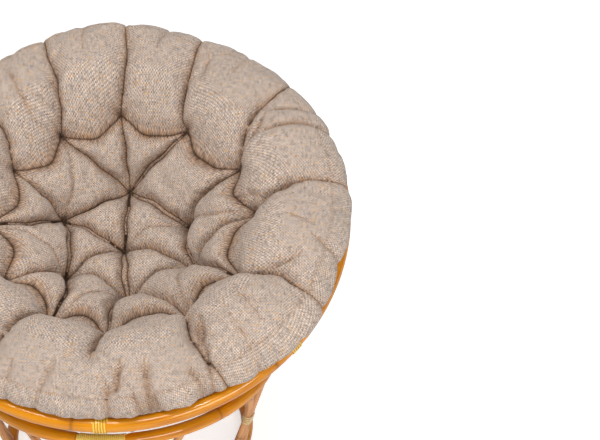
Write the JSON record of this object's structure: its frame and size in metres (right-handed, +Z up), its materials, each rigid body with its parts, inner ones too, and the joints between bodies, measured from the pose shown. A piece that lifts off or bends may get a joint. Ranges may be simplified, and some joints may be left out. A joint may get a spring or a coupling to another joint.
{
  "type": "papasan chair",
  "caption": "Papasan chair: a round tufted cushion in a tilting rattan bowl that rests in the top ring of an hourglass stand.",
  "frame": {"origin": "middle of the chair's bounding box, on the floor", "axes": "+Z up, the chair faces -Y, +X to the sitter's left"},
  "size_m": [1.097, 0.9864, 0.8932],
  "materials": {
    "lacquered_rattan": "gloss lacquer",
    "pale_rattan": "satin lacquer",
    "binding_cane": "satin",
    "heather_fabric": "woven"
  },
  "bodies": {
    "stand": {"stand_top_ring": "lacquered_rattan", "stand_foot_ring": "lacquered_rattan", "ring_wrap": "binding_cane", "leg_pole_01": "pale_rattan", "leg_pole_02": "pale_rattan", "leg_pole_03": "pale_rattan", "leg_pole_04": "pale_rattan", "leg_pole_05": "pale_rattan", "leg_pole_06": "pale_rattan", "leg_pole_07": "pale_rattan", "leg_pole_08": "pale_rattan", "leg_pole_09": "pale_rattan", "leg_pole_10": "pale_rattan", "leg_pole_11": "pale_rattan", "leg_pole_12": "pale_rattan", "leg_pole_13": "pale_rattan", "leg_pole_14": "pale_rattan", "leg_pole_15": "pale_rattan", "leg_pole_16": "pale_rattan", "leg_binding_1": "binding_cane", "leg_binding_2": "binding_cane", "leg_binding_3": "binding_cane", "leg_binding_4": "binding_cane", "leg_binding_5": "binding_cane", "leg_binding_6": "binding_cane", "leg_binding_7": "binding_cane", "leg_binding_8": "binding_cane"},
    "bowl": {"bowl_rim": "lacquered_rattan", "bowl_bottom_ring": "lacquered_rattan", "bowl_rib_01": "lacquered_rattan", "bowl_rib_02": "lacquered_rattan", "bowl_rib_03": "lacquered_rattan", "bowl_rib_04": "lacquered_rattan", "bowl_rib_05": "lacquered_rattan", "bowl_rib_06": "lacquered_rattan", "bowl_rib_07": "lacquered_rattan", "bowl_rib_08": "lacquered_rattan", "bowl_rib_09": "lacquered_rattan", "bowl_rib_10": "lacquered_rattan", "bowl_rib_11": "lacquered_rattan", "bowl_rib_12": "lacquered_rattan", "bowl_rib_13": "lacquered_rattan", "bowl_rib_14": "lacquered_rattan", "bowl_hoop_lower": "lacquered_rattan", "bowl_hoop_upper": "lacquered_rattan", "rim_lashing_1": "binding_cane", "rim_lashing_2": "binding_cane", "rim_lashing_3": "binding_cane", "rim_lashing_4": "binding_cane", "rim_lashing_5": "binding_cane", "rim_lashing_6": "binding_cane", "rim_lashing_7": "binding_cane"},
    "cushion": {"cushion": "heather_fabric"}
  },
  "joints": [
    {"name": "bowl_tilt", "type": "hinge", "parent": "stand", "child": "bowl", "pos_m": [0, -0.08453, 0.74652], "axis": [1, 0, 0], "range_deg": [-28.4, 2]},
    {"name": "cushion_lift", "type": "slide", "parent": "bowl", "child": "cushion", "axis": [0, -0.4756, 0.8797], "range_m": [0, 0.35]}
  ]
}
